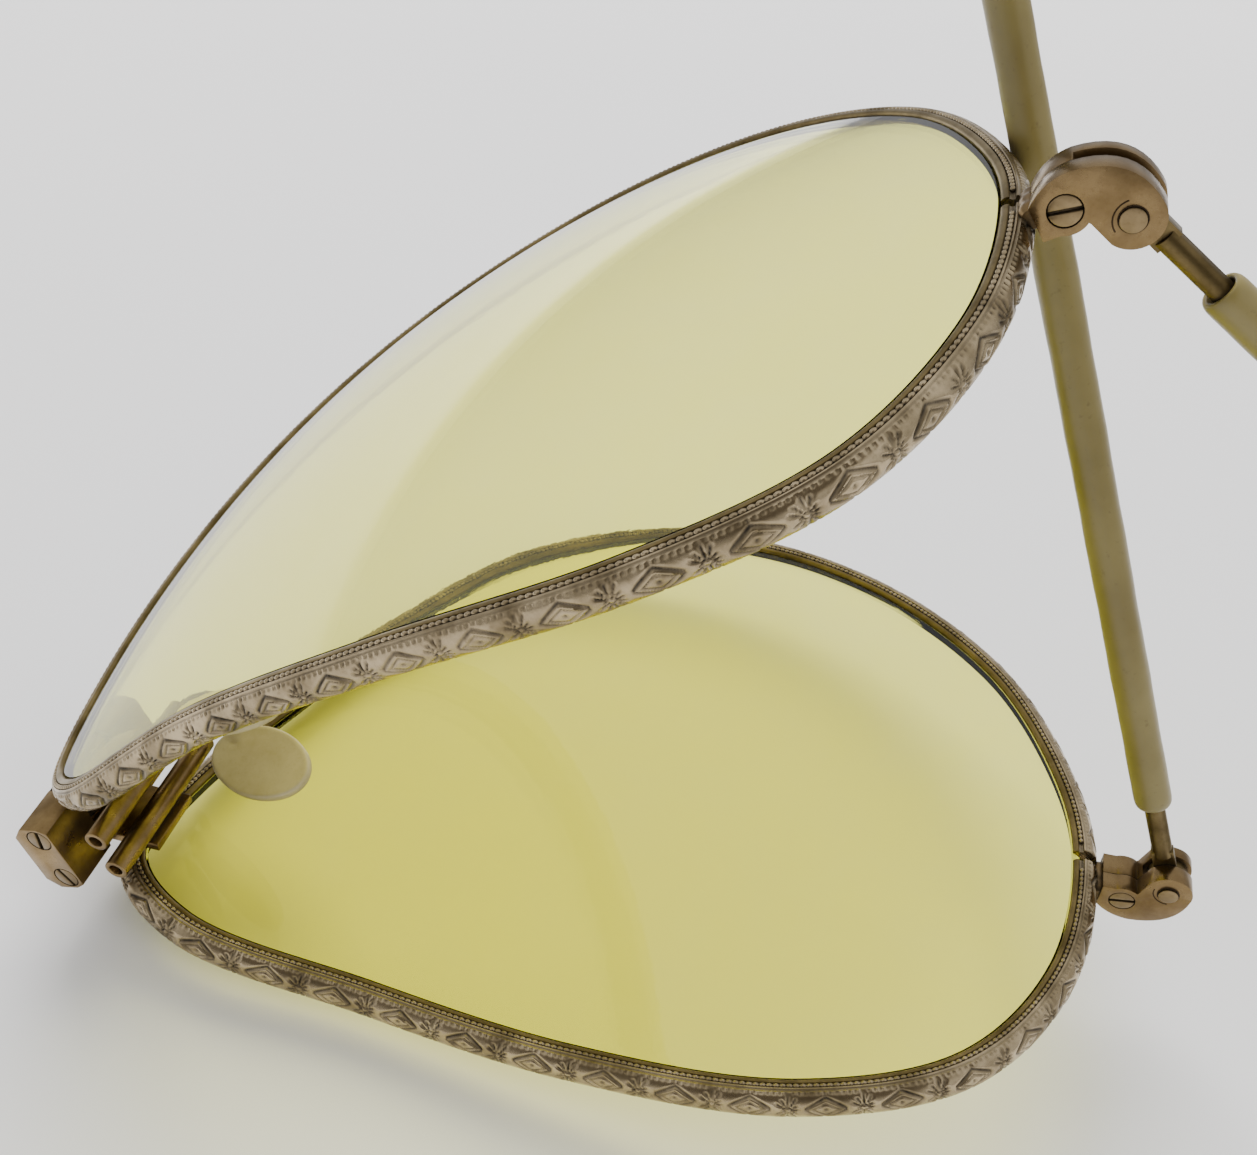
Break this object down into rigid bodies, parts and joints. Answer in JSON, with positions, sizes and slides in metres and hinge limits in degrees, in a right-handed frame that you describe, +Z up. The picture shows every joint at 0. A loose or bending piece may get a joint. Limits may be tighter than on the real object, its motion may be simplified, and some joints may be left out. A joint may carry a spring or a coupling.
{
  "type": "folding spectacles",
  "caption": "Folding spectacles with domed pear-shaped yellow lenses, engraved metal rims, a folding bridge and sleeved wire temples.",
  "frame": {"origin": "under the middle of the bounding box, on the surface that the spectacles lie on", "axes": "+Z up; +X from the bridge towards the temples; +Y down the wearer's face, close to the fold axis; as half folded in the picture"},
  "size_m": [0.141, 0.0648, 0.1017],
  "materials": {
    "rim_metal": "worn pale gold plate, engraved, grime in the recesses",
    "bridge_metal": "worn gold plate over brass",
    "end_piece_metal": "rosy worn gold plate",
    "screw_metal": "dull, dark in the slots",
    "wire_metal": "tarnished olive brown",
    "pad_metal": "matt pale olive brass",
    "tinted_glass": "polished yellow tinted glass",
    "sleeve_plastic": "aged cream-olive plastic, faintly waxy"
  },
  "bodies": {
    "left_frame": {"left_rim": "rim_metal", "left_lens": "tinted_glass", "left_hinge_leaf": "bridge_metal", "left_pad_tube": "bridge_metal", "left_pad_arm": "wire_metal", "left_nose_pad": "pad_metal", "left_upper_end_piece": "end_piece_metal", "left_lower_end_piece": "end_piece_metal", "left_closing_screw": "screw_metal", "left_temple_pin": "screw_metal"},
    "bridge": {"bridge_link": "bridge_metal", "left_fold_pin": "screw_metal", "right_fold_pin": "screw_metal"},
    "right_frame": {"right_rim": "rim_metal", "right_lens": "tinted_glass", "right_hinge_leaf": "bridge_metal", "right_pad_tube": "bridge_metal", "right_pad_arm": "wire_metal", "right_nose_pad": "pad_metal", "right_upper_end_piece": "end_piece_metal", "right_lower_end_piece": "end_piece_metal", "right_closing_screw": "screw_metal", "right_temple_pin": "screw_metal"},
    "left_temple": {"left_temple_wire": "wire_metal", "left_temple_sleeve": "sleeve_plastic", "left_ear_end": "sleeve_plastic"},
    "right_temple": {"right_temple_wire": "wire_metal", "right_temple_sleeve": "sleeve_plastic", "right_ear_end": "sleeve_plastic"}
  },
  "joints": [
    {"name": "fold_left", "type": "hinge", "parent": "left_frame", "child": "bridge", "pos_m": [-0.06763, -0.02432, 0.00463], "axis": [0, -0.9987, -0.0502], "range_deg": [0, 73]},
    {"name": "fold_right", "type": "hinge", "parent": "bridge", "child": "right_frame", "pos_m": [-0.06894, -0.02447, 0.00749], "axis": [0, -0.9987, -0.0502], "range_deg": [0, 73]},
    {"name": "left_temple_hinge", "type": "hinge", "parent": "left_frame", "child": "left_temple", "pos_m": [-0.005, -0.00914, 0.01127], "axis": [0, 0.9987, 0.0502], "range_deg": [0, 22]},
    {"name": "right_temple_hinge", "type": "hinge", "parent": "right_frame", "child": "right_temple", "pos_m": [-0.02348, -0.01117, 0.0517], "axis": [0, -0.9987, -0.0502], "range_deg": [-14, 2]}
  ]
}
